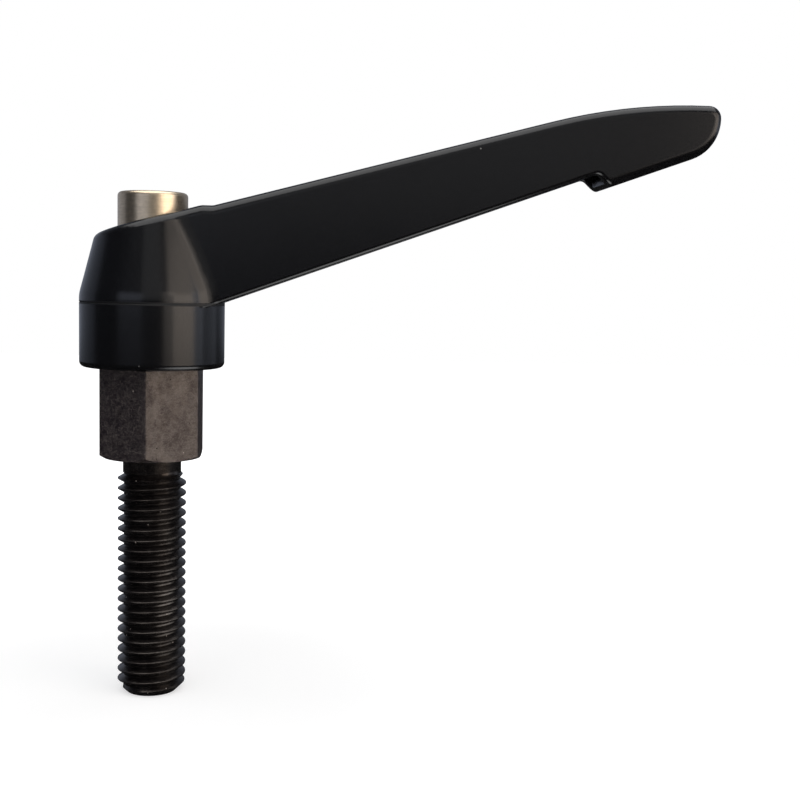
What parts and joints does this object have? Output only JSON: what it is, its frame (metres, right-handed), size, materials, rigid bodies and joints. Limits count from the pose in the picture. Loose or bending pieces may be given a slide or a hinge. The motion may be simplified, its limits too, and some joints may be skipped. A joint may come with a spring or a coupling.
{
  "type": "adjustable clamping lever",
  "caption": "Adjustable clamping lever: a black die-cast handle on a serrated hexagon insert with a threaded stud, lifted against a spring to be turned to a new position.",
  "frame": {"origin": "on the stud's axis, in the hexagon's underside that seats on the clamped part", "axes": "+Z along the stud's axis up through the hub and its retaining screw; +X out along the arm; +Y by the right-hand rule"},
  "size_m": [0.0915, 0.0208, 0.0873],
  "materials": {
    "handle": "satin black powder coat on a zinc die casting",
    "oxide_steel": "mottled black oxide on turned steel",
    "stainless": "plain turned stainless steel",
    "spring_steel": "bright drawn spring wire"
  },
  "bodies": {
    "insert": {"threaded_insert": "oxide_steel", "retaining_screw": "stainless"},
    "turning_spring": {"spring": "spring_steel"},
    "handle": {"lever": "handle"}
  },
  "joints": [
    {"name": "handle_turn", "type": "hinge", "parent": "insert", "child": "turning_spring", "pos_m": [0, 0, 0.0322], "axis": [0, 0, 1], "continuous": true},
    {"name": "handle_lift", "type": "slide", "parent": "turning_spring", "child": "handle", "axis": [0, 0, 1], "range_m": [0, 0.0042], "stiffness_N_per_m": 2500, "springref_m": -0.004, "deforming": ["spring"]}
  ]
}
